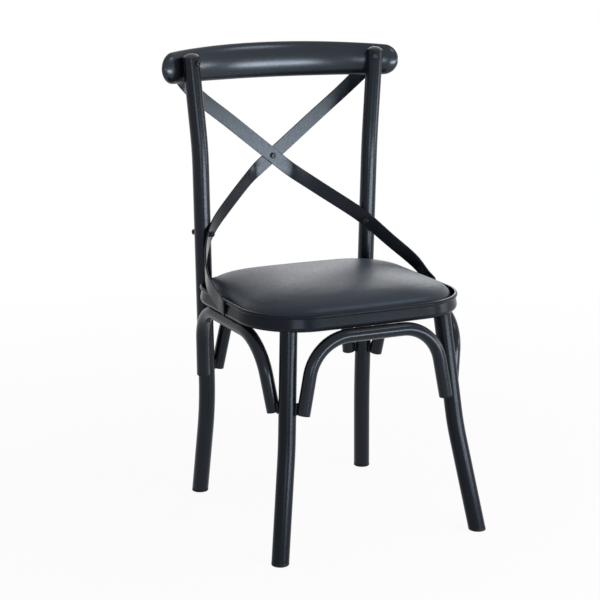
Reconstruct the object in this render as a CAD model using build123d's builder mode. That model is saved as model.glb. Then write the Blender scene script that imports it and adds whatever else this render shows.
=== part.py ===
"""Cross-back dining chair: bent steel tubes, four hoop stretchers, a ring seat and crossed back straps.

Millimetres, +Z up. The chair faces -Y, and left and right are as seen from its front (+X is right).
The origin is on the floor, below the middle of the chair's box.
"""
import os
from math import cos, degrees, hypot, radians, sin, sqrt

from build123d import *

os.makedirs("parts", exist_ok=True)

# Gaps between pieces
bearing_gap = 0.2
weld_gap = 0.6
rail_gap = 0.7
strap_gap = 0.8
pad_gap = 0.4
hole_gap = 0.6
thread_gap = 0.2
plug_gap = 0.25
bead_gap = 0.05

# Tubes
leg_diameter = 32.0
leg_wall = 1.5
hoop_diameter = 25.0
hoop_wall = 1.5

# Seat ring: a rolled profile round the seat, with a flange below the board and a beaded lip
ring_bottom_z = 406.7
ring_height = 31.8
ring_wall = 2.0
ring_flange = 26.0
ring_round = 9.0
ring_bulge = 3.0
lip_reach = 3.5
lip_height = 7.0
seat_half_width = 217.0
seat_front_y = -198.5
seat_front_bow = 5.0
seat_bow_radius = 2500.0
front_corner_radius = 110.0
rear_corner_radius = 100.0

# Front legs: how far the knee and the foot stand out from the leg's top, below the ring's corner
front_leg_inset = 12.4
front_leg_angle = 58.8
front_knee_z = 200.0
front_knee_out = 17.0
front_knee_forward = 31.2
front_foot_out = 47.8
front_foot_forward = 71.2
front_bend_radius = 650.0
leg_cope = 12.0

# Rear uprights: places of the right-hand tube's axis
rear_foot_x = 182.5
rear_foot_y = 174.0
rear_knee_x = 171.7
rear_knee_y = 159.6
rear_knee_z = 183.0
rear_bend_x = 182.3
rear_bend_y = 165.0
rear_bend_z = 683.0
rear_top_x = 196.5
rear_top_y = 175.4
rear_top_z = 859.0
rear_bend_radius = 900.0

# Feet and caps
glide_height = 6.0
glide_edge = 1.2
glide_stem = 22.0
cap_height = 7.0
cap_rim = 1.0
cap_stem = 6.0

# Hoop stretchers: arches below the ring whose ends lie against the legs. The insets are measured from
# the ring's face above each arch, and the corners from the ring's faces to both sides of it
hoop_end_z = 260.5
rear_hoop_end_z = 251.5
hoop_corner_radius = 80.0
front_hoop_inset = -3.5
rear_hoop_inset = 6.5
side_hoop_inset = 13.0
front_hoop_corner = 96.5
rear_hoop_corner = 93.5
side_hoop_front_corner = 51.0
side_hoop_rear_corner = 48.5
front_hoop_angle = -141.5
side_hoop_front_angle = 58.9
side_hoop_rear_angle = -54.1
rear_hoop_angle = 160.3
plug_length = 4.0
bead_radius = 2.6
bead_length = 20.0
bead_offset = 6.0

# Crest rail: a hollow rail of oval section on an arc behind the uprights
rail_curve_y = -243.7
rail_thickness = 26.0
rail_wall = 1.5
rail_drop = 21.0
rail_crown = 3.0
rail_height_end = 60.0
rail_height_middle = 69.0
rail_half_angle = 27.3
rail_end_radius = 30.0

# Cross straps: flat bars bent from the back of the rail to the sides of the ring
strap_width = 28.0
strap_thickness = 3.0
strap_edge = 0.8
cross_y = 230.0
cross_share = 0.405
cross_flat = 25.0
strap_top_angle = 24.6
strap_rail_angle = 22.6
strap_top_drop = 10.0
strap_rail_drop = 26.5
strap_turn_x = 165.0
strap_turn_back = 0.5
strap_turn_drop = 55.0
strap_span_x = 108.0
strap_bend_x = 64.0
strap_bend_forward = 11.5
strap_bend_drop = 48.0
strap_run_x = 116.0
strap_run_forward = 42.0
strap_run_drop = 85.5
strap_contact_angle = 40.0
strap_contact_lift = 121.3
strap_over_x = 26.0
strap_over_y = 49.0
strap_over_z = 87.0
strap_dip_x = 6.5
strap_dip_y = 2.0
strap_dip_z = 60.5
strap_side_y = 28.0
strap_side_z = 46.0
strap_low_y = 62.0
strap_low_z = 30.5
strap_end_y = 96.0
strap_end_z = 17.0

# Seat board and pad
board_thickness = 9.0
board_gap = 0.5
cover_thickness = 1.2
pad_skirt_lift = 4.5
pad_skirt_inset = 3.6
pad_side_lift = 18.0
pad_side_inset = 4.6
pad_edge_lift = 26.5
pad_edge_inset = 8.0
pad_turn_radius = 14.0
pad_crown_lift = 62.5
pad_crown_drop = 24.0
pad_crown_power = 1.8

# Bolts, nuts and screws
bolt_diameter = 6.0
bolt_head_diameter = 11.5
bolt_head_height = 3.4
bolt_head_round = 2.0
socket_size = 2.3
socket_depth = 1.8
bolt_tail = 2.0
nut_flats = 5.0
nut_height = 5.0
head_lift = 0.6
rail_bolt_rise = 10.4
strap_bolt_drop = 4.0
strap_bolt_angle = 33.0
strap_head_lift = 2.0
strap_end_share = 0.036
strap_end_bolt_length = 10.5
seat_screw_x = 70.0
seat_screw_inset = 18.0
seat_screw_diameter = 4.0
seat_screw_head = 8.0
seat_screw_head_height = 2.6
seat_screw_bite = 7.0

# Sizes that follow from those above
leg_radius = leg_diameter / 2
hoop_radius = hoop_diameter / 2
bolt_radius = bolt_diameter / 2
cap_crown = cap_height - cap_rim
dome_radius = (leg_radius**2 + cap_crown**2) / (2 * cap_crown)
seat_z = ring_bottom_z + ring_wall
strap_side_x = seat_half_width + lip_reach + bearing_gap + strap_thickness / 2
board_top_z = seat_z + board_thickness
rail_centre_z = rear_top_z - rail_drop
rail_bolt_z = rail_centre_z + rail_bolt_rise
strap_contact_z = ring_bottom_z + strap_contact_lift
strap_bolt_z = strap_contact_z - strap_bolt_drop
strap_turn_z = rail_centre_z - strap_turn_drop
cross_z = strap_contact_z + (rail_centre_z - strap_contact_z) * cross_share
strap_slope = (strap_turn_z - cross_z) / strap_turn_x


def axis_at(points, height):
    """Give the place at a height on a run of straight lines."""
    for low, high in zip(points, points[1:]):
        if low[2] <= height <= high[2]:
            share = (height - low[2]) / (high[2] - low[2])
            return Vector(*low) + (Vector(*high) - Vector(*low)) * share
    raise ValueError("no run of the line is at this height")


def upright_points(hand):
    """Axis of a rear upright, from the floor up; hand is 1 on the right and -1 on the left."""
    return [
        (hand * rear_foot_x, rear_foot_y, 0),
        (hand * rear_knee_x, rear_knee_y, rear_knee_z),
        (hand * rear_bend_x, rear_bend_y, rear_bend_z),
        (hand * rear_top_x, rear_top_y, rear_top_z),
    ]


def front_leg_points(hand):
    """Axis of a front leg, from the floor to a little above the ring's underside."""
    reach = front_corner_radius - front_leg_inset
    top_x = seat_half_width - front_corner_radius + reach * cos(radians(front_leg_angle))
    top_y = seat_front_y + front_corner_radius - reach * sin(radians(front_leg_angle))
    rise = leg_cope / (ring_bottom_z - front_knee_z)
    return [
        (hand * (top_x + front_foot_out), top_y - front_foot_forward, 0),
        (hand * (top_x + front_knee_out), top_y - front_knee_forward, front_knee_z),
        (
            hand * (top_x - front_knee_out * rise),
            top_y + front_knee_forward * rise,
            ring_bottom_z + leg_cope,
        ),
    ]


# The ring's rear corners lie against the uprights, which gives the ring its depth
upright_by_ring = axis_at(upright_points(1), ring_bottom_z + ring_height / 2)
rear_corner_x = seat_half_width - rear_corner_radius
rear_corner_reach = rear_corner_radius + lip_reach + bearing_gap + leg_radius
rear_corner_step = upright_by_ring.X - rear_corner_x
rear_corner_y = upright_by_ring.Y - sqrt(rear_corner_reach**2 - rear_corner_step**2)
seat_rear_y = rear_corner_y + rear_corner_radius
seat_middle_y = (seat_front_y + seat_rear_y) / 2

# The crest rail lies against the backs of the uprights, which gives its arc its radius
upright_by_rail = axis_at(upright_points(1), rail_centre_z)
rail_touch = hypot(upright_by_rail.X, upright_by_rail.Y - rail_curve_y)
rail_radius = rail_touch + leg_radius + rail_gap + rail_thickness / 2


def tube(points, bend_radii, diameter, wall):
    """Sweep a round tube along straight runs joined by arcs, into the open part."""
    with BuildLine() as path:
        FilletPolyline(*points, radius=bend_radii)
    route = path.wire()
    with BuildSketch(Plane(origin=route @ 0, z_dir=route % 0)) as section:
        Circle(diameter / 2)
        Circle(diameter / 2 - wall, mode=Mode.SUBTRACT)
    sweep(section.sketch, path=route)


def rod(plane, radius, length, mode=Mode.ADD):
    """Add or take away a round bar that starts on a plane and follows its normal."""
    with BuildSketch(plane) as section:
        Circle(radius)
    extrude(section.sketch, amount=length, mode=mode)


def drill(plane, radius, depth):
    """Take away a round hole that starts on a plane and goes against its normal."""
    rod(plane, radius, -depth, mode=Mode.SUBTRACT)


def bolt(plane, length):
    """Add a button head on a plane, with a hexagon socket, and a shank of a length below it."""
    with BuildPart(mode=Mode.PRIVATE) as one_bolt:
        rod(plane, bolt_head_diameter / 2, bolt_head_height)
        top_edge = one_bolt.edges().sort_by(Axis(plane.origin, plane.z_dir))[-1]
        fillet(top_edge, radius=bolt_head_round)
        with BuildSketch(plane.offset(bolt_head_height)) as socket:
            RegularPolygon(radius=socket_size, side_count=6)
        extrude(socket.sketch, amount=-socket_depth, mode=Mode.SUBTRACT)
        rod(plane, bolt_radius, -length)
    add(one_bolt.part)


def nut(plane):
    """Add a hexagon nut that starts on a plane and goes against its normal."""
    with BuildSketch(plane) as section:
        RegularPolygon(radius=nut_flats, side_count=6, major_radius=False)
        Circle(bolt_radius + thread_gap, mode=Mode.SUBTRACT)
    extrude(section.sketch, amount=-nut_height)


def finish(piece, name):
    """Name a finished piece and write it to its file."""
    piece.part.label = name
    export_step(piece.part, f"parts/{name}.step")


def seat_outline(height, inset, share=1.0):
    """Face of the seat's plan at a height, drawn in by an inset or shrunk about its middle by a share."""
    half = (seat_half_width - inset) * share
    front = seat_middle_y + (seat_front_y + inset - seat_middle_y) * share
    rear = seat_middle_y + (seat_rear_y - inset - seat_middle_y) * share
    middle = front - seat_front_bow * share
    front_round = (front_corner_radius - inset) * share
    rear_round = (rear_corner_radius - inset) * share
    corners = [(0, middle), (half, front), (half, rear), (-half, rear), (-half, front)]
    rounds = [seat_bow_radius * share, front_round, rear_round, rear_round, front_round]
    with BuildSketch(Plane.XY.offset(height)) as outline:
        with BuildLine():
            FilletPolyline(*corners, radius=rounds, close=True)
        make_face()
    return outline.sketch


def ring_plane():
    """Plane across the ring's path, with its X axis pointing out of the seat and its Y axis up."""
    route = seat_outline(ring_bottom_z, 0).face().outer_wire()
    start = route @ 0
    out = (route % 0).cross(Vector(0, 0, 1))
    if out.dot(start - Vector(0, seat_middle_y, ring_bottom_z)) < 0:
        out = out * -1
    return route, Plane(origin=start, x_dir=out, z_dir=out.cross(Vector(0, 0, 1)))


def ring_room():
    """Solid of the space that the ring and the seat take, used to cope the tops of the front legs."""
    route, across = ring_plane()
    reach = ring_bulge + bearing_gap
    centre = (ring_bulge - ring_round, ring_round)
    rounding = ring_round + bearing_gap
    diagonal = (centre[0] + rounding * sin(radians(45)), centre[1] - rounding * cos(radians(45)))
    with BuildPart() as room:
        with BuildSketch(across) as section:
            with BuildLine():
                Line((-2 * ring_flange, -bearing_gap), (centre[0], -bearing_gap))
                ThreePointArc((centre[0], -bearing_gap), diagonal, (reach, ring_round))
                Line((reach, ring_round), (reach, ring_height))
                Line((reach, ring_height), (-2 * ring_flange, ring_height))
                Line((-2 * ring_flange, ring_height), (-2 * ring_flange, -bearing_gap))
            make_face()
        sweep(section.sketch, path=route)
    return room.part


def foot_plane(points):
    """Plane square to a leg where its axis meets the top of its glide."""
    place = axis_at(points, glide_height)
    return Plane(origin=place, z_dir=Vector(*points[1]) - Vector(*points[0]))


def hoop_end(leg_points, hand, angle, height):
    """Place of a hoop's end beside a leg, at an angle round the right-hand leg, mirrored on the left."""
    place = axis_at(leg_points, height)
    reach = leg_radius + hoop_radius + weld_gap
    return (
        place.X + hand * reach * cos(radians(angle)),
        place.Y + reach * sin(radians(angle)),
        height,
    )


def hoop_height(inset):
    """Height of a hoop's axis where its top touches the ring's flat underside or its rounded edge."""
    beyond_flat = max(ring_round - ring_bulge - inset, 0)
    reach = ring_round + hoop_radius + bearing_gap
    return ring_bottom_z + ring_round - sqrt(reach**2 - beyond_flat**2)


# The four arches, each from one end over two corners to the other end
front_hoop_y = seat_front_y - seat_front_bow + front_hoop_inset
rear_hoop_y = seat_rear_y - rear_hoop_inset
side_hoop_x = seat_half_width - side_hoop_inset
front_hoop_half = seat_half_width - front_hoop_corner
rear_hoop_half = seat_half_width - rear_hoop_corner
side_hoop_front_y = seat_front_y + side_hoop_front_corner
side_hoop_rear_y = seat_rear_y - side_hoop_rear_corner
hoop_routes = {
    "front_hoop": [
        hoop_end(front_leg_points(-1), -1, front_hoop_angle, hoop_end_z),
        (-front_hoop_half, front_hoop_y, hoop_height(front_hoop_inset)),
        (front_hoop_half, front_hoop_y, hoop_height(front_hoop_inset)),
        hoop_end(front_leg_points(1), 1, front_hoop_angle, hoop_end_z),
    ],
    "rear_hoop": [
        hoop_end(upright_points(-1), -1, rear_hoop_angle, rear_hoop_end_z),
        (-rear_hoop_half, rear_hoop_y, hoop_height(rear_hoop_inset)),
        (rear_hoop_half, rear_hoop_y, hoop_height(rear_hoop_inset)),
        hoop_end(upright_points(1), 1, rear_hoop_angle, rear_hoop_end_z),
    ],
}
for hand, side in ((-1, "left"), (1, "right")):
    hoop_routes[f"{side}_hoop"] = [
        hoop_end(front_leg_points(hand), hand, side_hoop_front_angle, hoop_end_z),
        (hand * side_hoop_x, side_hoop_front_y, hoop_height(side_hoop_inset)),
        (hand * side_hoop_x, side_hoop_rear_y, hoop_height(side_hoop_inset)),
        hoop_end(upright_points(hand), hand, side_hoop_rear_angle, rear_hoop_end_z),
    ]


def rail_bolt_plane(hand):
    """Plane below a rail bolt's head, on the front of an upright and facing the middle of the rail's arc."""
    place = axis_at(upright_points(hand), rail_bolt_z)
    forward = (Vector(0, rail_curve_y, rail_bolt_z) - place).normalized()
    return Plane(origin=place + forward * (leg_radius + head_lift), z_dir=forward)


def strap_bolt_plane(hand):
    """Plane below a strap bolt's head, in front of the strap on an upright."""
    place = axis_at(upright_points(hand), strap_bolt_z)
    turn = radians(strap_bolt_angle)
    forward = Vector(-hand * sin(turn), -cos(turn), 0)
    reach = leg_radius + strap_gap + strap_thickness + strap_head_lift
    return Plane(origin=place + forward * reach, z_dir=forward)


strap_setback = (strap_thickness + bearing_gap) / 2
cross_plane = Plane(
    origin=(0, cross_y - strap_setback - strap_thickness / 2 - bearing_gap, cross_z),
    x_dir=(1, 0, 0),
    z_dir=(0, -1, 0),
)
cross_bolt_grip = 2 * strap_thickness + 3 * bearing_gap
cross_bolt_length = cross_bolt_grip + nut_height + bolt_tail
rail_bolt_grip = head_lift + leg_diameter + rail_gap + rail_thickness + head_lift
rail_bolt_length = rail_bolt_grip + nut_height + bolt_tail
strap_bolt_grip = strap_head_lift + strap_thickness + strap_gap + leg_diameter + head_lift
strap_bolt_length = strap_bolt_grip + nut_height + bolt_tail


def behind_rail(angle, height, hand):
    """Place of a strap's middle line behind the rail, at an angle round the rail's arc."""
    reach = rail_radius + rail_thickness / 2 + strap_gap + strap_thickness / 2
    turn = radians(angle)
    return (hand * reach * sin(turn), rail_curve_y + reach * cos(turn), height)


def strap_route(hand, setback):
    """Middle line of a strap whose lower end is on the hand's side, moved back at the crossing."""
    flat_y = cross_y + setback
    rise = cross_flat * strap_slope
    upright = axis_at(upright_points(hand), strap_contact_z)
    reach = leg_radius + strap_gap + strap_thickness / 2
    turn = radians(strap_contact_angle)
    upper = [
        behind_rail(strap_top_angle, rail_centre_z - strap_top_drop, -hand),
        behind_rail(strap_rail_angle, rail_centre_z - strap_rail_drop, -hand),
        (-hand * strap_turn_x, flat_y - strap_turn_back, strap_turn_z),
        (-hand * strap_span_x, flat_y, cross_z + strap_span_x * strap_slope),
        (-hand * cross_flat, flat_y, cross_z + rise),
    ]
    lower = [
        (hand * cross_flat, flat_y, cross_z - rise),
        (hand * strap_bend_x, cross_y - strap_bend_forward, cross_z - strap_bend_drop),
        (hand * strap_run_x, cross_y - strap_run_forward, cross_z - strap_run_drop),
        (upright.X - hand * reach * sin(turn), upright.Y - reach * cos(turn), strap_contact_z),
        (
            hand * (strap_side_x - strap_over_x),
            rear_corner_y + strap_over_y,
            ring_bottom_z + strap_over_z,
        ),
        (
            hand * (strap_side_x - strap_dip_x),
            rear_corner_y + strap_dip_y,
            ring_bottom_z + strap_dip_z,
        ),
        (hand * strap_side_x, rear_corner_y - strap_side_y, ring_bottom_z + strap_side_z),
        (hand * strap_side_x, rear_corner_y - strap_low_y, ring_bottom_z + strap_low_z),
        (hand * strap_side_x, rear_corner_y - strap_end_y, ring_bottom_z + strap_end_z),
    ]
    across = (hand, 0, -strap_slope)
    with BuildLine() as upper_line:
        Spline(*upper, tangents=[Vector(*upper[1]) - Vector(*upper[0]), across])
    with BuildLine() as lower_line:
        Spline(*lower, tangents=[across, Vector(0, -1, -strap_slope / 2)])
    return upper_line.edge(), lower_line.edge()


def strap_section(place, along):
    """Cross-section of a strap: its wide sides are upright, and its width is square to its length."""
    across = along.cross(Vector(0, 0, 1)).normalized()
    with BuildSketch(Plane(origin=place, x_dir=across, z_dir=along)) as section:
        RectangleRounded(strap_thickness, strap_width, strap_edge)
    return section.sketch


def strap_sections(hand, setback, upper_steps=9, lower_steps=16):
    """Sections down a strap; the last one is cut upright."""
    upper, lower = strap_route(hand, setback)
    upper_shares = [step / upper_steps for step in range(upper_steps + 1)]
    lower_shares = [step / lower_steps for step in range(lower_steps)]
    sections = [strap_section(upper @ share, upper % share) for share in upper_shares]
    for share in (1 / 4, 1 / 2, 3 / 4):
        sections.append(strap_section(upper @ 1 + (lower @ 0 - upper @ 1) * share, upper % 1))
    sections += [strap_section(lower @ share, lower % share) for share in lower_shares]
    sections.append(strap_section(lower @ 1, Vector(0, -1, 0)))
    return sections


def rail_section(angle, shrink, wall):
    """Oval section of the crest rail at an angle round its arc, shrunk near the rail's rounded ends."""
    share = min(abs(angle) / rail_half_angle, 1)
    bow = 1 - share**2
    height = rail_height_end + (rail_height_middle - rail_height_end) * bow
    turn = radians(angle)
    out = Vector(sin(turn), cos(turn), 0)
    place = Vector(0, rail_curve_y, rail_centre_z + rail_crown * bow) + out * rail_radius
    with BuildSketch(Plane(origin=place, x_dir=out, z_dir=(cos(turn), -sin(turn), 0))) as section:
        Ellipse((rail_thickness / 2) * shrink - wall, (height / 2) * shrink - wall)
    return section.sketch


def rail_sections(wall):
    """Sections along the rail from tip to tip: even steps between round ends that close in a quarter circle."""
    end_turns = [radians(turn) for turn in (78, 62, 45, 30, 15)]
    end_reach = degrees((rail_end_radius - wall) / rail_radius)
    ends = [(rail_half_angle + end_reach * sin(turn), cos(turn)) for turn in end_turns]
    spans = [(rail_half_angle * step / 4, 1) for step in range(-4, 5)]
    stations = [(-angle, shrink) for angle, shrink in ends] + spans
    stations += [(angle, shrink) for angle, shrink in reversed(ends)]
    return [rail_section(angle, shrink, wall) for angle, shrink in stations]


# Rear uprights, front legs and what closes their ends
cope = ring_room()
for hand, side in ((-1, "left"), (1, "right")):
    points = upright_points(hand)
    with BuildPart() as rear_upright:
        tube(points, rear_bend_radius, leg_diameter, leg_wall)
        split(bisect_by=Plane.XY.offset(glide_height), keep=Keep.TOP)
        drill(rail_bolt_plane(hand), (bolt_diameter + hole_gap) / 2, rail_bolt_length)
        drill(strap_bolt_plane(hand), (bolt_diameter + hole_gap) / 2, strap_bolt_length)
    finish(rear_upright, f"rear_upright_{side}")

    top = Plane(origin=points[-1], z_dir=Vector(*points[-1]) - Vector(*points[-2]))
    with BuildPart() as upright_cap:
        rod(top, leg_radius, cap_height)
        with Locations(top.offset(cap_height - dome_radius).location):
            Sphere(dome_radius, mode=Mode.INTERSECT)
        rod(top, leg_radius - leg_wall - plug_gap, -cap_stem)
    finish(upright_cap, f"upright_cap_{side}")

    with BuildPart() as front_leg:
        tube(front_leg_points(hand), front_bend_radius, leg_diameter, leg_wall)
        split(bisect_by=Plane.XY.offset(glide_height), keep=Keep.TOP)
        add(cope, mode=Mode.SUBTRACT)
    finish(front_leg, f"front_leg_{side}")

    for end, leg_points in (("front", front_leg_points(hand)), ("rear", points)):
        foot = foot_plane(leg_points)
        with BuildPart() as foot_glide:
            rod(foot.offset(leg_radius), leg_radius, -leg_diameter - glide_height)
            split(bisect_by=Plane.XY.offset(glide_height), keep=Keep.BOTTOM)
            rod(foot.offset(-glide_height / 2), leg_radius - leg_wall - plug_gap, glide_stem)
            split(bisect_by=Plane.XY, keep=Keep.TOP)
            fillet(foot_glide.edges().sort_by(Axis.Z)[0], radius=glide_edge)
        finish(foot_glide, f"foot_glide_{end}_{side}")

# Hoop stretchers, with a plug in each end
for name, route in hoop_routes.items():
    with BuildPart() as hoop:
        tube(route, hoop_corner_radius, hoop_diameter, hoop_wall)
    finish(hoop, name)

with BuildPart() as hoop_end_plugs:
    for route in hoop_routes.values():
        for end, inner in ((route[0], route[1]), (route[3], route[2])):
            mouth = Plane(origin=end, z_dir=Vector(*inner) - Vector(*end))
            rod(mouth, hoop_radius - hoop_wall - plug_gap, plug_length)
finish(hoop_end_plugs, "hoop_end_plugs")

# Seat ring
seat_screw_planes = [
    Plane(origin=(hand * seat_screw_x, y, ring_bottom_z), z_dir=(0, 0, -1))
    for hand in (-1, 1)
    for y in (seat_front_y + seat_screw_inset, seat_rear_y - seat_screw_inset)
]
with BuildPart() as seat_ring:
    ring_route, ring_across = ring_plane()
    round_centre = (ring_bulge - ring_round, ring_round)
    inner_round = ring_round - ring_wall
    waist = ring_height - lip_height
    corner = radians(45)
    with BuildSketch(ring_across) as ring_section:
        with BuildLine():
            Polyline(
                (round_centre[0], ring_wall),
                (-ring_flange, ring_wall),
                (-ring_flange, 0),
                (round_centre[0], 0),
            )
            ThreePointArc(
                (round_centre[0], 0),
                (round_centre[0] + ring_round * sin(corner), ring_round - ring_round * cos(corner)),
                (ring_bulge, ring_round),
            )
            Line((ring_bulge, ring_round), (0, waist))
            ThreePointArc((0, waist), (lip_reach, waist + lip_height / 2), (0, ring_height))
            Polyline(
                (0, ring_height),
                (-ring_wall, ring_height),
                (-ring_wall, waist),
                (ring_bulge - ring_wall, ring_round),
            )
            ThreePointArc(
                (ring_bulge - ring_wall, ring_round),
                (round_centre[0] + inner_round * sin(corner), ring_round - inner_round * cos(corner)),
                (round_centre[0], ring_wall),
            )
        make_face()
    sweep(ring_section.sketch, path=ring_route)
    for place in seat_screw_planes:
        drill(place, (seat_screw_diameter + hole_gap) / 2, ring_wall)
finish(seat_ring, "seat_ring")

# Seat board, with pilot holes for its four screws
board_inset = ring_round - ring_bulge + board_gap
with BuildPart() as seat_board:
    extrude(seat_outline(seat_z, board_inset), amount=board_thickness)
    for place in seat_screw_planes:
        drill(place.offset(-ring_wall), seat_screw_diameter / 2 + thread_gap, seat_screw_bite + thread_gap)
finish(seat_board, "seat_board")

with BuildPart() as seat_screws:
    for place in seat_screw_planes:
        rod(place, seat_screw_head / 2, seat_screw_head_height)
        rod(place, seat_screw_diameter / 2, -ring_wall - seat_screw_bite)
finish(seat_screws, "seat_screws")


def pad_sections(skin):
    """Plans up the pad, drawn in by a skin: sides that draw in, a rounded edge and a crowned top."""
    sides = [
        (pad_skirt_lift, pad_skirt_inset),
        (pad_side_lift, pad_side_inset),
    ]
    for turn in (0, 20, 40, 60, 75):
        lift = pad_edge_lift + (pad_turn_radius - skin) * sin(radians(turn))
        inset = pad_edge_inset + pad_turn_radius - (pad_turn_radius - skin) * cos(radians(turn))
        sides.append((lift, inset - skin))
    sections = [seat_outline(seat_z + lift, inset + skin) for lift, inset in sides]
    for share in (0.88, 0.8, 0.7, 0.58, 0.44, 0.28, 0.1):
        lift = pad_crown_lift - pad_crown_drop * share**pad_crown_power
        sections.append(seat_outline(seat_z + lift - skin, pad_edge_inset, share))
    return sections


# Seat pad: a foam block on the board and a cover drawn over both
with BuildPart() as seat_foam:
    loft(pad_sections(cover_thickness + pad_gap), ruled=True)
    split(bisect_by=Plane.XY.offset(board_top_z), keep=Keep.TOP)
finish(seat_foam, "seat_foam")

with BuildPart() as seat_cover:
    loft(pad_sections(0), ruled=True)
    loft(pad_sections(cover_thickness), ruled=True, mode=Mode.SUBTRACT)
finish(seat_cover, "seat_cover")

# Crest rail, held to the uprights by a bolt and a nut at each side
bolt_hole = (bolt_diameter + hole_gap) / 2


def strap_end_plane(hand):
    """Plane below the head of the bolt that holds a strap's upper end to the back of the rail."""
    upper, lower = strap_route(-hand, 0)
    place = upper @ strap_end_share
    out = Vector(place.X, place.Y - rail_curve_y, 0).normalized()
    return Plane(origin=place + out * (strap_thickness / 2 + 2 * head_lift), z_dir=out)


with BuildPart() as crest_rail:
    loft(rail_sections(0))
    loft(rail_sections(rail_wall), mode=Mode.SUBTRACT)
    for hand in (-1, 1):
        drill(rail_bolt_plane(hand), bolt_hole, rail_bolt_length)
        drill(strap_end_plane(hand), bolt_hole, strap_end_bolt_length)
finish(crest_rail, "crest_rail")

with BuildPart() as rail_bolts:
    for hand in (-1, 1):
        bolt(rail_bolt_plane(hand), rail_bolt_length)
finish(rail_bolts, "rail_bolts")

with BuildPart() as rail_nuts:
    for hand in (-1, 1):
        nut(rail_bolt_plane(hand).offset(-rail_bolt_grip))
finish(rail_nuts, "rail_nuts")

# Cross straps: the one whose lower end is on the right passes in front
for name, hand, setback in (("front", 1, -strap_setback), ("rear", -1, strap_setback)):
    with BuildPart() as cross_strap:
        loft(strap_sections(hand, setback))
        drill(cross_plane, bolt_hole, cross_bolt_length)
        drill(strap_bolt_plane(hand), bolt_hole, strap_bolt_length)
        drill(strap_end_plane(-hand), bolt_hole, strap_end_bolt_length)
    finish(cross_strap, f"cross_strap_{name}")

with BuildPart() as strap_bolts:
    for hand in (-1, 1):
        bolt(strap_bolt_plane(hand), strap_bolt_length)
finish(strap_bolts, "strap_bolts")

with BuildPart() as strap_nuts:
    for hand in (-1, 1):
        nut(strap_bolt_plane(hand).offset(-strap_bolt_grip))
finish(strap_nuts, "strap_nuts")

with BuildPart() as strap_end_bolts:
    for hand in (-1, 1):
        bolt(strap_end_plane(hand), strap_end_bolt_length)
finish(strap_end_bolts, "strap_end_bolts")

with BuildPart() as cross_bolt:
    bolt(cross_plane, cross_bolt_length)
finish(cross_bolt, "cross_bolt")

with BuildPart() as cross_nut:
    nut(cross_plane.offset(-cross_bolt_grip))
finish(cross_nut, "cross_nut")


def weld_bead(leg_points, hoop_points, offset):
    """Add a weld between a leg and a hoop's end, to one side of the line where they touch."""
    height = hoop_points[0][2] + bead_length / 2
    on_leg = axis_at(leg_points, height)
    on_hoop = axis_at(hoop_points, height)
    along_leg = (Vector(*leg_points[-1]) - Vector(*leg_points[-2])).normalized()
    along_hoop = (Vector(*hoop_points[1]) - Vector(*hoop_points[0])).normalized()
    across = (on_hoop - on_leg).normalized()
    gap = (on_hoop - on_leg).length - leg_radius - hoop_radius
    middle = on_leg + across * (leg_radius + gap / 2) + across.cross(Vector(0, 0, 1)) * offset
    start = Plane(origin=middle, z_dir=along_leg + along_hoop).offset(-bead_length / 2)
    with BuildPart(mode=Mode.PRIVATE) as bead:
        rod(start, bead_radius, bead_length)
        fillet(bead.edges().filter_by(GeomType.CIRCLE), radius=bead_radius / 2)
        rod(Plane(origin=on_leg - along_leg * leg_diameter, z_dir=along_leg), leg_radius + bead_gap,
            2 * leg_diameter, mode=Mode.SUBTRACT)
        rod(Plane(origin=on_hoop - along_hoop * leg_diameter, z_dir=along_hoop), hoop_radius + bead_gap,
            2 * leg_diameter, mode=Mode.SUBTRACT)
    add(bead.part)


with BuildPart() as hoop_weld_beads:
    for hand, side in ((-1, "left"), (1, "right")):
        front_leg_line = front_leg_points(hand)
        upright_line = upright_points(hand)
        front_end = hoop_routes["front_hoop"] if hand < 0 else hoop_routes["front_hoop"][::-1]
        rear_end = hoop_routes["rear_hoop"] if hand < 0 else hoop_routes["rear_hoop"][::-1]
        side_route = hoop_routes[f"{side}_hoop"]
        for leg_line, hoop_line in (
            (front_leg_line, front_end),
            (front_leg_line, side_route),
            (upright_line[1:3], side_route[::-1]),
            (upright_line[1:3], rear_end),
        ):
            weld_bead(leg_line, hoop_line[:2], bead_offset)
            weld_bead(leg_line, hoop_line[:2], -bead_offset)
finish(hoop_weld_beads, "hoop_weld_beads")
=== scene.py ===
"""Looks of a cross-back dining chair: coated steel frame, black fittings, padded seat and a plain studio."""

from math import cos, radians, sin

import bmesh
import bpy
import numpy as np
from mathutils import Matrix, Vector


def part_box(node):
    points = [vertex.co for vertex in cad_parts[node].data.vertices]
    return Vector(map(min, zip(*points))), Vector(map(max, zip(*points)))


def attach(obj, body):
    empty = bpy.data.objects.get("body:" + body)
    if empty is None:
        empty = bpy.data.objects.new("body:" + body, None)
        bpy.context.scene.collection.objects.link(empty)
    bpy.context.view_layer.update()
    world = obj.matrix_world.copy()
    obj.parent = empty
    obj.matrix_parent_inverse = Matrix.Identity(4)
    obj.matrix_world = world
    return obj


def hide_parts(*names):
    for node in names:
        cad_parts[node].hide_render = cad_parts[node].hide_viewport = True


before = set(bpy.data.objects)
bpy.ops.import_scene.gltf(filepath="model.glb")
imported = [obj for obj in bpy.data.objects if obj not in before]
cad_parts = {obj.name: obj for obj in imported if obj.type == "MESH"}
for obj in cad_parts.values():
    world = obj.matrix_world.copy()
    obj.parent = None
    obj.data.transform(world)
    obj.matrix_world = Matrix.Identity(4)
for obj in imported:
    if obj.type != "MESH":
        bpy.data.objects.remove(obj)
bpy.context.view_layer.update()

bl_info = {
    "name": "Cross-Back Chair",
    "version": (1, 0, 0),
    "blender": (4, 5, 0),
    "location": "View3D > Sidebar > Chair",
    "description": "Dresses the frame, the fittings and the padded seat of a cross-back dining chair",
    "category": "Object",
}

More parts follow.
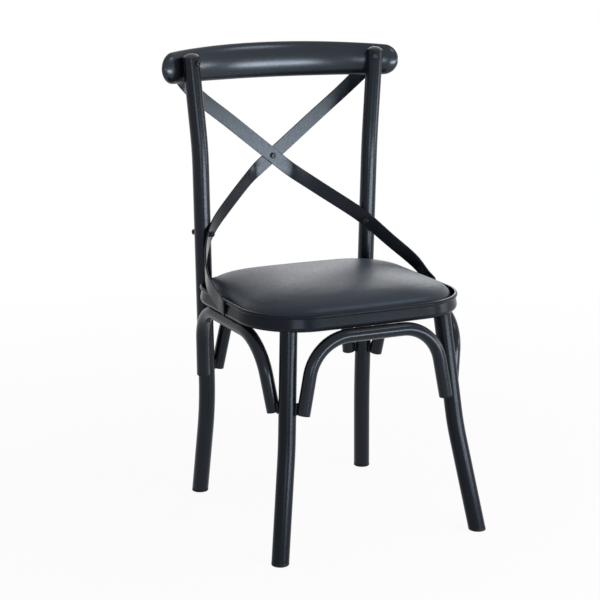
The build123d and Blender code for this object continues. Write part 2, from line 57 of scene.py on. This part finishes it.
# Lit and shaded copies of one coat: share of the coat's gloss, share of its tone, and the pieces that have
# it. The rail's copy is lighter and glossier as painted light, the legs' and ring's has less gloss as painted
# shade, and the hoops' is darker as painted shade.
COATS = {
    "powder_coat": (
        1.0, 1.0, ("rear_upright_left", "rear_upright_right", "cross_strap_front", "cross_strap_rear")),
    "powder_coat_rail_painted_light": (2.0, 1.2, ("crest_rail",)),
    "powder_coat_low_painted_shade": (0.5, 1.0, ("front_leg_left", "front_leg_right", "seat_ring")),
    "powder_coat_hoops_painted_shade": (
        1.1, 0.9, ("front_hoop", "rear_hoop", "left_hoop", "right_hoop", "hoop_end_plugs")),
}
WELDED = ("hoop_weld_beads",)
BOLTED = (
    "rail_bolts", "rail_nuts", "strap_bolts", "strap_nuts", "strap_end_bolts", "cross_bolt", "cross_nut",
    "seat_screws",
)
GLIDES = ("foot_glide_front_left", "foot_glide_front_right", "foot_glide_rear_left", "foot_glide_rear_right")
CAPS = ("upright_cap_left", "upright_cap_right")

# Plan of the pad, which follows the frame's seat cover, in metres
FRONT_BOW = 0.005
BOW_RADIUS = 2.5
FRONT_CORNER_RADIUS = 0.1064
REAR_CORNER_RADIUS = 0.0964

# Profile of the pad: height of its side, how far the side draws in, and the power that shapes the dome
SIDE_HEIGHT = 0.0215
SIDE_INSET = 0.003
DOME_POWER = 3

# Points along an arc of the pad's plan and round the whole plan, and rows of points along the profile
ARC_POINTS = 97
PLAN_POINTS = 220
UNDER_ROWS = 20
SIDE_ROWS = 10
CROWN_ROWS = 46

# Frames of the cloth simulation that fills the pad
SWELL_FRAMES = 20

# Lamps: place, target, width, height and radiance
LAMPS = {
    "softbox_front": ((0.92, -1.75, 0.27), (0, 0.2, 0.62), 1.4, 0.34, 19),
    "softbox_near": ((-0.75, -1.95, 0.56), (0, 0.17, 0.8), 0.7, 0.3, 9),
    "softbox_right": ((1.97, -0.75, 0.56), (0, 0.17, 0.8), 0.7, 0.3, 9),
    "softbox_back": ((1.6, 2.4, 1.35), (0, 0, 0.45), 1.2, 0.6, 2.6),
    "softbox_top": ((1.0, -1.0, 2.0), (0, -0.1, 0.4), 0.6, 0.4, 6),
}


class ChairCoat(bpy.types.PropertyGroup):
    """Powder coat on the steel frame."""

    colour: bpy.props.FloatVectorProperty(
        name="Colour", description="Colour of the powder coat", subtype="COLOR", size=3,
        min=0, max=1, default=(0.0066, 0.0078, 0.0112))
    roughness: bpy.props.FloatProperty(
        name="Roughness", description="Mean roughness of the coat", subtype="FACTOR",
        min=0, max=1, default=0.22)
    gloss: bpy.props.FloatProperty(
        name="Gloss", description="Specular level of the coat", subtype="FACTOR", min=0, max=1, default=0.23)
    peel_size: bpy.props.FloatProperty(
        name="Peel size", description="Width of the ripples in the coat", subtype="DISTANCE",
        min=0.0002, max=0.01, default=0.0016)
    peel_height: bpy.props.FloatProperty(
        name="Peel height", description="Height of the ripples in the coat", subtype="DISTANCE",
        min=0, max=0.001, default=0.000003)


class ChairFittings(bpy.types.PropertyGroup):
    """Bolts, glides, caps and seat board."""

    bolt_colour: bpy.props.FloatVectorProperty(
        name="Bolt colour", description="Colour of the black oxide steel", subtype="COLOR", size=3,
        min=0, max=1, default=(0.016, 0.017, 0.02))
    glide_colour: bpy.props.FloatVectorProperty(
        name="Glide colour", description="Colour of the moulded feet", subtype="COLOR", size=3,
        min=0, max=1, default=(0.006, 0.0062, 0.007))
    cap_colour: bpy.props.FloatVectorProperty(
        name="Cap colour", description="Colour of the caps in the uprights", subtype="COLOR", size=3,
        min=0, max=1, default=(0.009, 0.01, 0.012))
    wood_colour: bpy.props.FloatVectorProperty(
        name="Wood colour", description="Colour of the seat board's veneer", subtype="COLOR", size=3,
        min=0, max=1, default=(0.42, 0.29, 0.17))


class ChairSeat(bpy.types.PropertyGroup):
    """Padded seat and its cover."""

    colour: bpy.props.FloatVectorProperty(
        name="Colour", description="Colour of the seat's cover", subtype="COLOR", size=3,
        min=0, max=1, default=(0.0082, 0.0115, 0.02))
    roughness: bpy.props.FloatProperty(
        name="Roughness", description="Mean roughness of the cover", subtype="FACTOR",
        min=0, max=1, default=0.35)
    grain_size: bpy.props.FloatProperty(
        name="Grain size", description="Width of the pebbles in the cover's grain", subtype="DISTANCE",
        min=0.0003, max=0.01, default=0.0013)
    grain_height: bpy.props.FloatProperty(
        name="Grain height", description="Height of the pebbles in the cover's grain", subtype="DISTANCE",
        min=0, max=0.001, default=0.00006)
    start_inset: bpy.props.FloatProperty(
        name="Start inset", description="How much smaller the pad is before it swells", subtype="DISTANCE",
        min=0, max=0.02, default=0.0022)
    pressure: bpy.props.FloatProperty(
        name="Pressure", description="Pressure of the filling in the cloth simulation",
        min=0, max=20, default=3.5)
    most_swell: bpy.props.FloatProperty(
        name="Most swell", description="Furthest that a point of the cover may move", subtype="DISTANCE",
        min=0, max=0.03, default=0.005)
    voxel: bpy.props.FloatProperty(
        name="Voxel", description="Width of the cover's cells in the simulation", subtype="DISTANCE",
        min=0.003, max=0.02, default=0.005)


class ChairStage(bpy.types.PropertyGroup):
    """Floor, light of the room and camera."""

    target: bpy.props.FloatVectorProperty(
        name="Target", description="Point that the camera looks at", subtype="XYZ", size=3, unit="LENGTH",
        default=(-0.0676, -0.03515, 0.4244))
    distance: bpy.props.FloatProperty(
        name="Distance", description="Distance from the camera to its target", subtype="DISTANCE",
        min=0.5, max=20, default=3.229)
    azimuth: bpy.props.FloatProperty(
        name="Azimuth", description="Angle of the camera round the chair", subtype="ANGLE",
        default=radians(-26.36))
    elevation: bpy.props.FloatProperty(
        name="Elevation", description="Angle of the camera above the floor", subtype="ANGLE",
        default=radians(13.67))
    roll: bpy.props.FloatProperty(
        name="Roll", description="Turn of the camera about its own line of sight", subtype="ANGLE",
        default=radians(0.5))
    lens: bpy.props.FloatProperty(
        name="Lens", description="Focal length of the camera", subtype="DISTANCE_CAMERA",
        min=10, max=400, default=104.16)
    floor_size: bpy.props.FloatProperty(
        name="Floor size", description="Width of the floor", subtype="DISTANCE", min=2, max=200, default=40)
    surround: bpy.props.FloatProperty(
        name="Surround", description="Light from the room on matt surfaces", min=0, max=2, default=0.42)


SETTINGS = {
    "chair_coat": ChairCoat,
    "chair_fittings": ChairFittings,
    "chair_seat": ChairSeat,
    "chair_stage": ChairStage,
}


def new_material(name, colour, roughness, gloss, metallic=0.0):
    """Make a material of one principled shader and give back the material, its tree and that shader."""
    material = bpy.data.materials.new(name)
    material.use_nodes = True
    tree = material.node_tree
    surface = tree.nodes["Principled BSDF"]
    surface.inputs["Base Color"].default_value = (*colour, 1)
    surface.inputs["Roughness"].default_value = roughness
    surface.inputs["Specular IOR Level"].default_value = gloss
    surface.inputs["Metallic"].default_value = metallic
    return material, tree, surface


def node(tree, kind, **values):
    """Add a node to a tree; values named like its sockets go into them, others are set on the node."""
    made = tree.nodes.new(kind)
    for key, value in values.items():
        socket = key.replace("_", " ").capitalize()
        if socket in made.inputs:
            made.inputs[socket].default_value = value
        else:
            setattr(made, key, value)
    return made


def object_place(tree, stretch=(1, 1, 1)):
    """Object coordinates, stretched along the axes."""
    place = node(tree, "ShaderNodeTexCoord")
    mapping = node(tree, "ShaderNodeMapping", Scale=stretch)
    tree.links.new(place.outputs["Object"], mapping.inputs["Vector"])
    return mapping.outputs["Vector"]


def noise(tree, place, scale, detail=3.0, roughness=0.55):
    """Noise at so many ripples a metre."""
    made = node(tree, "ShaderNodeTexNoise", Scale=scale, Detail=detail, Roughness=roughness)
    tree.links.new(place, made.inputs["Vector"])
    return made.outputs["Fac"]


def spread(tree, value, low, high, start=0.3, end=0.7):
    """Map a noise value from its usual range to a range of numbers."""
    made = node(tree, "ShaderNodeMapRange")
    made.inputs["From Min"].default_value = start
    made.inputs["From Max"].default_value = end
    made.inputs["To Min"].default_value = low
    made.inputs["To Max"].default_value = high
    tree.links.new(value, made.inputs["Value"])
    return made.outputs["Result"]


def scaled(colour, share):
    """A colour made lighter or darker by a share."""
    return tuple(min(part * share, 1) for part in colour)


def vary_colour(tree, surface, value, colour, dark, light):
    """Let a value drive a shader's colour from a dark share of a colour to a light one."""
    made = node(tree, "ShaderNodeMix", data_type="RGBA")
    ends = [socket for socket in made.inputs if socket.type == "RGBA"]
    ends[0].default_value = (*scaled(colour, dark), 1)
    ends[1].default_value = (*scaled(colour, light), 1)
    tree.links.new(value, made.inputs["Factor"])
    mixed = [socket for socket in made.outputs if socket.type == "RGBA"]
    tree.links.new(mixed[0], surface.inputs["Base Color"])


def vary_roughness(tree, surface, value, mean, swing):
    """Let a noise value drive a shader's roughness by a swing to either side of its mean."""
    tree.links.new(spread(tree, value, mean - swing, mean + swing), surface.inputs["Roughness"])


def raise_bump(tree, surface, heights):
    """Chain bumps of (value, height in metres, strength) and join them to a shader's normal."""
    last = None
    for value, height, strength in heights:
        made = node(tree, "ShaderNodeBump", Distance=height, Strength=strength)
        tree.links.new(value, made.inputs["Height"])
        if last:
            tree.links.new(last, made.inputs["Normal"])
        last = made.outputs["Normal"]
    tree.links.new(last, surface.inputs["Normal"])


def blue_gloss(surface):
    """Give a shader's gloss the cool cast of blue-black paint."""
    surface.inputs["Specular Tint"].default_value = (0.72, 0.85, 1, 1)


def powder_coat(name, coat, gloss=1.0, tone=1.0, welded=False):
    """Semi-gloss powder coat: slow drifts of tone, a speckle in its gloss, and ripples like orange peel."""
    # The shares of tone and gloss make lit and shaded copies of the coat: a tone above one is painted light,
    # a tone below one and a gloss below one are painted shade.
    paint = scaled(coat.colour, tone)
    material, tree, surface = new_material(name, paint, coat.roughness, coat.gloss * gloss)
    blue_gloss(surface)
    place = object_place(tree)
    drift = spread(tree, noise(tree, place, scale=9, detail=2), 0, 1)
    vary_colour(tree, surface, drift, paint, dark=0.85, light=1.2)
    speckle = noise(tree, place, scale=240, detail=4)
    vary_roughness(tree, surface, speckle, coat.roughness, swing=0.035)
    heights = [(noise(tree, place, scale=1 / coat.peel_size, detail=1.5), coat.peel_height, 0.6)]
    if welded:
        ripple = node(tree, "ShaderNodeTexWave", Scale=185, Distortion=2.5, Detail=1.5, bands_direction="Z")
        tree.links.new(place, ripple.inputs["Vector"])
        heights.append((ripple.outputs["Fac"], 0.0006, 0.9))
    raise_bump(tree, surface, heights)
    return material


def black_oxide(fittings):
    """Blackened steel of the bolts: fine pits, and wear that lightens it in spots."""
    colour = fittings.bolt_colour
    material, tree, surface = new_material("black_oxide", colour, roughness=0.34, gloss=0.5, metallic=0.85)
    place = object_place(tree)
    wear = spread(tree, noise(tree, place, scale=420, detail=5), 0, 1)
    vary_colour(tree, surface, wear, colour, dark=0.7, light=1.7)
    rough = spread(tree, noise(tree, place, scale=900), low=0.27, high=0.42)
    tree.links.new(rough, surface.inputs["Roughness"])
    raise_bump(tree, surface, [(noise(tree, place, scale=2600, detail=2), 0.00002, 0.5)])
    return material


def moulded(name, colour, roughness, gloss, texture_height):
    """Moulded plastic: a fine spark-eroded texture, and drifts of tone and gloss."""
    material, tree, surface = new_material(name, colour, roughness, gloss)
    place = object_place(tree)
    drift = spread(tree, noise(tree, place, scale=70), 0, 1)
    vary_colour(tree, surface, drift, colour, dark=0.85, light=1.25)
    vary_roughness(tree, surface, noise(tree, place, scale=300), roughness, swing=0.05)
    raise_bump(tree, surface, [(noise(tree, place, scale=2200, detail=2), texture_height, 0.7)])
    return material


def plywood(fittings):
    """Birch plywood: grain stretched along the board, and plies that alternate in tone through its depth."""
    colour = fittings.wood_colour
    material, tree, surface = new_material("plywood", colour, roughness=0.62, gloss=0.35)
    grain_place = object_place(tree, stretch=(3, 46, 1))
    grain = noise(tree, grain_place, scale=3.2, detail=7, roughness=0.62)
    ply_place = object_place(tree, stretch=(0.02, 0.02, 1))
    plies = node(tree, "ShaderNodeTexWave", Scale=105, Distortion=0.6, Detail=2, bands_direction="Z")
    tree.links.new(ply_place, plies.inputs["Vector"])
    ply_share = 0.35
    both = node(tree, "ShaderNodeMath", operation="MULTIPLY_ADD")
    tree.links.new(plies.outputs["Fac"], both.inputs[0])
    both.inputs[1].default_value = ply_share
    tree.links.new(spread(tree, grain, 0, 1 - ply_share), both.inputs[2])
    vary_colour(tree, surface, both.outputs["Value"], colour, dark=0.55, light=1.15)
    tree.links.new(spread(tree, grain, low=0.54, high=0.7), surface.inputs["Roughness"])
    raise_bump(tree, surface, [(grain, 0.0002, 0.5)])
    return material


def seat_vinyl(seat):
    """Coated fabric of the seat: small pebbles with creases between them, over slow drifts of tone."""
    material, tree, surface = new_material("seat_vinyl", seat.colour, seat.roughness, gloss=0.36)
    blue_gloss(surface)
    surface.inputs["Sheen Weight"].default_value = 0.1
    surface.inputs["Sheen Roughness"].default_value = 0.35
    surface.inputs["Sheen Tint"].default_value = (0.5, 0.7, 1, 1)
    place = object_place(tree)
    drift = spread(tree, noise(tree, place, scale=7, detail=2), 0, 1)
    vary_colour(tree, surface, drift, seat.colour, dark=0.88, light=1.15)
    pebbles = node(tree, "ShaderNodeTexVoronoi", Scale=1 / seat.grain_size, feature="DISTANCE_TO_EDGE")
    tree.links.new(place, pebbles.inputs["Vector"])
    pebble = spread(tree, pebbles.outputs["Distance"], 0, 1, start=0.0, end=0.3)
    speckle = noise(tree, place, scale=160, detail=4)
    vary_roughness(tree, surface, speckle, seat.roughness, swing=0.05)
    raise_bump(tree, surface, [
        (noise(tree, place, scale=26, detail=2), 0.0005, 0.15),
        (pebble, seat.grain_height, 0.6),
    ])
    return material


def dress(names, material):
    """Put a material into the slots of the named CAD pieces."""
    for name in names:
        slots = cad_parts[name].data.materials
        slots.clear()
        slots.append(material)


def rounded_outline(corners, rounds, samples):
    """Points and outward normals at even steps along a closed run of lines joined by arcs.

    An arc of radius r at a corner with half angle h starts r / tan(h) before it and is centred
    r / sin(h) from it on the bisector. The lines are the gaps between one arc's end and the next arc's start.
    """
    corners = np.asarray(corners, float)
    rounds = np.asarray(rounds, float)[:, None]
    back = np.roll(corners, 1, axis=0) - corners
    ahead = np.roll(corners, -1, axis=0) - corners
    back /= np.linalg.norm(back, axis=1, keepdims=True)
    ahead /= np.linalg.norm(ahead, axis=1, keepdims=True)
    half = np.arccos(np.clip((back * ahead).sum(1, keepdims=True), -1, 1)) / 2
    bisector = back + ahead
    bisector /= np.linalg.norm(bisector, axis=1, keepdims=True)
    centre = corners + bisector * rounds / np.sin(half)
    start = corners + back * rounds / np.tan(half) - centre
    end = corners + ahead * rounds / np.tan(half) - centre
    share = np.linspace(0, 1, ARC_POINTS)[None, :, None]
    sweep = (np.pi - 2 * half)[:, :, None]
    arcs = np.sin((1 - share) * sweep) * start[:, None] + np.sin(share * sweep) * end[:, None]
    arcs /= np.sin(sweep)
    normals = (arcs / rounds[:, :, None]).reshape(-1, 2)
    points = (centre[:, None] + arcs).reshape(-1, 2)
    points = np.concatenate([points, points[:1]])
    normals = np.concatenate([normals, normals[:1]])
    run = np.concatenate([[0], np.cumsum(np.linalg.norm(np.diff(points, axis=0), axis=1))])
    step = np.linspace(0, run[-1], samples, endpoint=False)
    place = np.stack([np.interp(step, run, points[:, axis]) for axis in (0, 1)], axis=1)
    outward = np.stack([np.interp(step, run, normals[:, axis]) for axis in (0, 1)], axis=1)
    return place, outward / np.linalg.norm(outward, axis=1, keepdims=True)


def closed_grid_faces(rows, columns):
    """Quads of a grid whose columns run round in a ring."""
    row = np.arange(rows - 1)[:, None]
    column = np.arange(columns)[None, :]
    beside = (column + 1) % columns
    first = row * columns + column
    second = row * columns + beside
    return np.stack([first, second, second + columns, first + columns], axis=-1).reshape(-1, 4)


def pad_surface(seat):
    """Closed surface of the pad: plans of the seat stacked up a profile.

    A plan is the outline p moved in along its normal n by an inset d and shrunk by a share s about the
    middle m: m + s (p - d n - m). The profile goes out along the flat underside, up the side, which draws in
    with the square of its height, and over a dome whose height is (1 - s ** DOME_POWER) ** 0.5 of its rise.
    """
    low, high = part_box("seat_cover")
    half, front, rear = high.x, low.y, high.y
    bow_end = front + FRONT_BOW
    corners = [(0, front), (half, bow_end), (half, rear), (-half, rear), (-half, bow_end)]
    rounds = [BOW_RADIUS, FRONT_CORNER_RADIUS, REAR_CORNER_RADIUS, REAR_CORNER_RADIUS, FRONT_CORNER_RADIUS]
    outline, normals = rounded_outline(corners, rounds, PLAN_POINTS)
    middle = np.array([0, (front + rear) / 2])
    under = np.linspace(0, 1, UNDER_ROWS)[:-1]
    side = np.linspace(0, 1, SIDE_ROWS)
    crown = np.sin(np.linspace(np.pi / 2, 0, CROWN_ROWS))[1:]
    insets = np.concatenate([np.zeros(len(under)), SIDE_INSET * side**2, np.full(len(crown), SIDE_INSET)])
    shares = np.concatenate([under, np.ones(len(side)), crown])
    dome_rise = high.z - low.z - SIDE_HEIGHT - seat.start_inset
    lifts = np.concatenate([
        np.zeros(len(under)),
        SIDE_HEIGHT * side,
        SIDE_HEIGHT + dome_rise * np.sqrt(1 - crown**DOME_POWER),
    ])
    plans = outline[None] - (insets[:, None, None] + seat.start_inset) * normals[None] - middle
    plans = middle + shares[:, None, None] * plans
    heights = np.broadcast_to((low.z + lifts)[:, None, None], plans.shape[:2] + (1,))
    points = np.concatenate([plans, heights], axis=2).reshape(-1, 3)
    return points, closed_grid_faces(len(lifts), len(outline))


def mesh_object(name, points, faces):
    """Make an object at the origin from points and faces, with doubles merged and normals outwards."""
    mesh = bpy.data.meshes.new(name)
    mesh.from_pydata(points, [], faces.tolist())
    build = bmesh.new()
    build.from_mesh(mesh)
    bmesh.ops.remove_doubles(build, verts=build.verts, dist=1e-5)
    bmesh.ops.dissolve_degenerate(build, edges=build.edges, dist=1e-6)
    bmesh.ops.recalc_face_normals(build, faces=build.faces)
    build.to_mesh(mesh)
    build.free()
    mesh.shade_smooth()
    made = bpy.data.objects.new(name, mesh)
    bpy.context.scene.collection.objects.link(made)
    return made


def vertex_places(mesh):
    """Places of a mesh's vertices as an array."""
    places = np.empty(len(mesh.vertices) * 3)
    mesh.vertices.foreach_get("co", places)
    return places.reshape(-1, 3)


def apply_modifiers(made):
    """Swap an object's mesh for what its modifiers give, and take them off."""
    shown = made.evaluated_get(bpy.context.evaluated_depsgraph_get())
    mesh = bpy.data.meshes.new_from_object(shown)
    made.modifiers.clear()
    made.data = mesh
    mesh.shade_smooth()


def swell(made, seat):
    """Fill a cover by cloth simulation: pressure inside, held where the ring grips it, movement capped."""
    remesh = made.modifiers.new("cells", "REMESH")
    remesh.mode = "VOXEL"
    remesh.voxel_size = seat.voxel
    soften = made.modifiers.new("soften", "SMOOTH")
    soften.factor = 0.5
    soften.iterations = 8
    apply_modifiers(made)
    before = vertex_places(made.data)
    ring_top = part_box("seat_ring")[1].z
    held = made.vertex_groups.new(name="held")
    held.add(np.flatnonzero(before[:, 2] < ring_top).tolist(), 1.0, "REPLACE")
    cloth = made.modifiers.new("filling", "CLOTH")
    cloth.settings.quality = 6
    cloth.settings.mass = 0.35
    cloth.settings.tension_stiffness = 30
    cloth.settings.compression_stiffness = 30
    cloth.settings.shear_stiffness = 8
    cloth.settings.bending_stiffness = 14
    cloth.settings.use_pressure = True
    cloth.settings.uniform_pressure_force = seat.pressure
    cloth.settings.vertex_group_mass = "held"
    cloth.settings.effector_weights.gravity = 0
    cloth.point_cache.frame_start = 1
    cloth.point_cache.frame_end = SWELL_FRAMES
    scene = bpy.context.scene
    for number in range(1, SWELL_FRAMES + 1):
        scene.frame_set(number)
    shown = made.evaluated_get(bpy.context.evaluated_depsgraph_get())
    moved = vertex_places(shown.data) - before
    far = np.linalg.norm(moved, axis=1, keepdims=True)
    moved *= np.minimum(1, seat.most_swell / np.maximum(far, 1e-9))
    made.modifiers.clear()
    scene.frame_set(1)
    made.data.vertices.foreach_set("co", (before + moved).ravel())
    made.data.update()
    settle = made.modifiers.new("settle", "SMOOTH")
    settle.factor = 0.5
    settle.iterations = 14
    apply_modifiers(made)


class CHAIR_OT_coat_frame(bpy.types.Operator):
    """Coat the tubes, hoops, ring, rail, straps and welds of the frame."""

    bl_idname = "chair.coat_frame"
    bl_label = "Coat the frame"

    def execute(self, context):
        coat = context.scene.chair_coat
        for name, (gloss, tone, pieces) in COATS.items():
            dress(pieces, powder_coat(name, coat, gloss, tone))
        dress(WELDED, powder_coat("powder_coat_on_welds", coat, welded=True))
        return {"FINISHED"}


class CHAIR_OT_finish_fittings(bpy.types.Operator):
    """Give the bolts, nuts, screws, glides, caps and seat board their finishes."""

    bl_idname = "chair.finish_fittings"
    bl_label = "Finish the fittings"

    def execute(self, context):
        fittings = context.scene.chair_fittings
        dress(BOLTED, black_oxide(fittings))
        dress(GLIDES, moulded(
            "glide_plastic", fittings.glide_colour, roughness=0.5, gloss=0.15, texture_height=0.00005))
        dress(CAPS, moulded(
            "cap_plastic", fittings.cap_colour, roughness=0.24, gloss=0.4, texture_height=0.00001))
        dress(("seat_board",), plywood(fittings))
        return {"FINISHED"}


class CHAIR_OT_make_pad(bpy.types.Operator):
    """Make the padded seat: a crowned pad that swells inside its cover."""

    bl_idname = "chair.make_pad"
    bl_label = "Make the pad"

    def execute(self, context):
        seat = context.scene.chair_seat
        pad = mesh_object("seat_pad", *pad_surface(seat))
        swell(pad, seat)
        finer = pad.modifiers.new("finer", "SUBSURF")
        finer.levels = 1
        finer.render_levels = 1
        pad.data.shade_smooth()
        pad.data.materials.clear()
        pad.data.materials.append(seat_vinyl(seat))
        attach(pad, "root")
        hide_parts("seat_cover", "seat_foam")
        return {"FINISHED"}


def seen_directly(tree):
    """One for camera, glossy and transmission rays, and nought for all others."""
    path = node(tree, "ShaderNodeLightPath")
    first = node(tree, "ShaderNodeMath", operation="MAXIMUM")
    second = node(tree, "ShaderNodeMath", operation="MAXIMUM")
    tree.links.new(path.outputs["Is Camera Ray"], first.inputs[0])
    tree.links.new(path.outputs["Is Glossy Ray"], first.inputs[1])
    tree.links.new(first.outputs["Value"], second.inputs[0])
    tree.links.new(path.outputs["Is Transmission Ray"], second.inputs[1])
    return second.outputs["Value"]


def build_world(stage):
    """Room that lights matt surfaces evenly and shows white to camera, glossy and transmission rays."""
    world = bpy.data.worlds.new("studio")
    world.use_nodes = True
    tree = world.node_tree
    tree.nodes.clear()
    room = node(tree, "ShaderNodeBackground", Strength=stage.surround)
    white = node(tree, "ShaderNodeBackground", Strength=1.0)
    room.inputs["Color"].default_value = (0.97, 0.985, 1, 1)
    white.inputs["Color"].default_value = (1, 1, 1, 1)
    mix = node(tree, "ShaderNodeMixShader")
    tree.links.new(seen_directly(tree), mix.inputs[0])
    tree.links.new(room.outputs["Background"], mix.inputs[1])
    tree.links.new(white.outputs["Background"], mix.inputs[2])
    output = node(tree, "ShaderNodeOutputWorld")
    tree.links.new(mix.outputs["Shader"], output.inputs["Surface"])
    bpy.context.scene.world = world


def floor_material():
    """Pale floor that keeps the chair's shadow close by and turns to plain white further out.

    What is seen of it is white by the near share up to the near distance from its middle, and all white from
    the far distance on. The distances are in metres.
    """
    near, far = 0.5, 2.0
    near_share = 0.93
    material = bpy.data.materials.new("pale_floor")
    material.use_nodes = True
    tree = material.node_tree
    tree.nodes.clear()
    matt = node(tree, "ShaderNodeBsdfDiffuse")
    matt.inputs["Color"].default_value = (0.93, 0.93, 0.93, 1)
    white = node(tree, "ShaderNodeEmission", Strength=1.0)
    place = object_place(tree, stretch=(1 / far, 1 / far, 1 / far))
    round_fade = node(tree, "ShaderNodeTexGradient", gradient_type="SPHERICAL")
    tree.links.new(place, round_fade.inputs["Vector"])
    share = spread(tree, round_fade.outputs["Fac"], 1, near_share, start=0.0, end=1 - near / far)
    both = node(tree, "ShaderNodeMath", operation="MULTIPLY")
    tree.links.new(seen_directly(tree), both.inputs[0])
    tree.links.new(share, both.inputs[1])
    mix = node(tree, "ShaderNodeMixShader")
    tree.links.new(both.outputs["Value"], mix.inputs[0])
    tree.links.new(matt.outputs["BSDF"], mix.inputs[1])
    tree.links.new(white.outputs["Emission"], mix.inputs[2])
    output = node(tree, "ShaderNodeOutputMaterial")
    tree.links.new(mix.outputs["Shader"], output.inputs["Surface"])
    return material


def softbox(name, place, target, width, height, radiance):
    """Area lamp of a width and height that faces a target, as bright as a radiance over its whole face."""
    lamp = bpy.data.lights.new(name, "AREA")
    lamp.shape = "RECTANGLE"
    lamp.size = width
    lamp.size_y = height
    lamp.energy = radiance * np.pi * width * height
    made = bpy.data.objects.new(name, lamp)
    aim = Vector(target) - Vector(place)
    made.matrix_world = Matrix.Translation(place) @ aim.to_track_quat("-Z", "Y").to_matrix().to_4x4()
    bpy.context.scene.collection.objects.link(made)


def place_camera(stage):
    """Camera on a sphere round its target: back points from the target to it, level runs to its right.

    back = (cos e sin a, -cos e cos a, sin e) and level = (cos a, sin a, 0); the roll turns level towards up.
    """
    turn, tilt = stage.azimuth, stage.elevation
    back = Vector((cos(tilt) * sin(turn), -cos(tilt) * cos(turn), sin(tilt)))
    level = Vector((cos(turn), sin(turn), 0))
    rise = back.cross(level)
    right = level * cos(stage.roll) + rise * sin(stage.roll)
    upward = rise * cos(stage.roll) - level * sin(stage.roll)
    place = Vector(stage.target) + back * stage.distance
    data = bpy.data.cameras.new("camera")
    data.lens = stage.lens
    data.sensor_width = 36
    data.clip_end = 200
    made = bpy.data.objects.new("camera", data)
    made.matrix_world = Matrix.Translation(place) @ Matrix((right, upward, back)).transposed().to_4x4()
    bpy.context.scene.collection.objects.link(made)
    bpy.context.scene.camera = made


class CHAIR_OT_set_stage(bpy.types.Operator):
    """Set the floor, the room's light, the softboxes and the camera."""

    bl_idname = "chair.set_stage"
    bl_label = "Set the stage"

    def execute(self, context):
        stage = context.scene.chair_stage
        half = stage.floor_size / 2
        corners = np.array([(-half, -half, 0), (half, -half, 0), (half, half, 0), (-half, half, 0)])
        floor = mesh_object("floor", corners, np.array([[0, 1, 2, 3]]))
        floor.data.materials.append(floor_material())
        build_world(stage)
        for name, values in LAMPS.items():
            softbox(name, *values)
        place_camera(stage)
        context.scene.view_settings.view_transform = "Standard"
        return {"FINISHED"}


STEPS = (CHAIR_OT_coat_frame, CHAIR_OT_finish_fittings, CHAIR_OT_make_pad, CHAIR_OT_set_stage)


class CHAIR_PT_steps(bpy.types.Panel):
    """List the steps that dress the chair, and their settings."""

    bl_idname = "CHAIR_PT_steps"
    bl_label = "Cross-Back Chair"
    bl_space_type = "VIEW_3D"
    bl_region_type = "UI"
    bl_category = "Chair"

    def draw(self, context):
        for step in STEPS:
            self.layout.operator(step.bl_idname)
        for key, group in SETTINGS.items():
            box = self.layout.box()
            for name in group.__annotations__:
                box.prop(getattr(context.scene, key), name)


CLASSES = (*SETTINGS.values(), *STEPS, CHAIR_PT_steps)


def register():
    """Register the classes and hang their settings on the scene."""
    for one in CLASSES:
        bpy.utils.register_class(one)
    for key, group in SETTINGS.items():
        setattr(bpy.types.Scene, key, bpy.props.PointerProperty(type=group))


def unregister():
    """Take the settings off the scene and unregister the classes."""
    for key in SETTINGS:
        delattr(bpy.types.Scene, key)
    for one in reversed(CLASSES):
        bpy.utils.unregister_class(one)


def main():
    """Dress the chair step by step."""
    register()
    bpy.ops.chair.coat_frame()
    bpy.ops.chair.finish_fittings()
    bpy.ops.chair.make_pad()
    bpy.ops.chair.set_stage()


if __name__ == "__main__":
    main()
